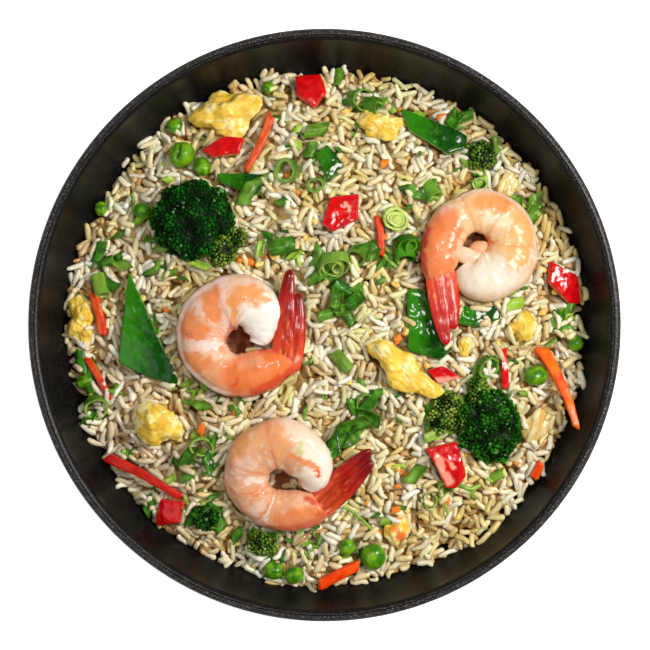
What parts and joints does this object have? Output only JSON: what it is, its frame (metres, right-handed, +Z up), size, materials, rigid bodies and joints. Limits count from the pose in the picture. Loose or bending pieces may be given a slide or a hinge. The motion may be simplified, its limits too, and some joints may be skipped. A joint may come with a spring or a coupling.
{
  "type": "bowl of shrimp fried rice",
  "caption": "Deep round black bowl heaped with fried rice, curled shrimp, broccoli, snow pea pods, peas, red pepper, carrot, egg and scallion.",
  "frame": {"origin": "centre of the underside of the bowl's foot ring, on the surface it stands on", "axes": "+Z up; +X towards the side where the third shrimp and the longest carrot stick lie; +Y towards the back, with the large egg piece at the back left"},
  "size_m": [0.2246, 0.2246, 0.07],
  "materials": {
    "bowl": "satin black glaze with a fine speckle",
    "rice": "cooked long-grain rice, moist and slightly translucent",
    "shrimp": "cooked shrimp, pink and orange with a red tail",
    "broccoli": "dark green beaded florets on a pale stem",
    "snow_pea": "glossy green pod",
    "red_pepper": "glossy red skin",
    "carrot": "orange cut sticks",
    "egg": "soft yellow scrambled egg",
    "onion": "golden translucent onion",
    "pea": "green peas with wrinkled skins",
    "scallion": "green scallion, hollow and cut across"
  },
  "bodies": {
    "root": {"bowl": "bowl", "broccoli_1": "broccoli", "broccoli_2": "broccoli", "broccoli_3": "broccoli", "broccoli_4": "broccoli", "broccoli_5": "broccoli", "carrot_1": "carrot", "carrot_2": "carrot", "carrot_3": "carrot", "carrot_4": "carrot", "carrot_5": "carrot", "carrot_6": "carrot", "carrot_7": "carrot", "carrot_8": "carrot", "egg_1": "egg", "egg_2": "egg", "egg_3": "egg", "egg_4": "egg", "egg_5": "egg", "egg_6": "egg", "egg_7": "egg", "egg_8": "egg", "onion_1": "onion", "onion_2": "onion", "pea_1": "pea", "pea_2": "pea", "pea_3": "pea", "pea_4": "pea", "pea_5": "pea", "pea_6": "pea", "pea_7": "pea", "pea_8": "pea", "pea_9": "pea", "red_pepper_1": "red_pepper", "red_pepper_2": "red_pepper", "red_pepper_3": "red_pepper", "red_pepper_4": "red_pepper", "red_pepper_5": "red_pepper", "red_pepper_6": "red_pepper", "red_pepper_7": "red_pepper", "red_pepper_8": "red_pepper", "rice": "rice", "scallion_leaf_1": "scallion", "scallion_leaf_2": "scallion", "scallion_leaf_3": "scallion", "scallion_ring_1": "scallion", "scallion_ring_2": "scallion", "scallion_ring_3": "scallion", "scallion_ring_4": "scallion", "scallion_ring_5": "scallion", "shrimp_1": "shrimp", "shrimp_2": "shrimp", "shrimp_3": "shrimp", "snow_pea_1": "snow_pea", "snow_pea_2": "snow_pea", "snow_pea_3": "snow_pea", "snow_pea_4": "snow_pea", "snow_pea_5": "snow_pea", "snow_pea_6": "snow_pea"}
  },
  "joints": []
}
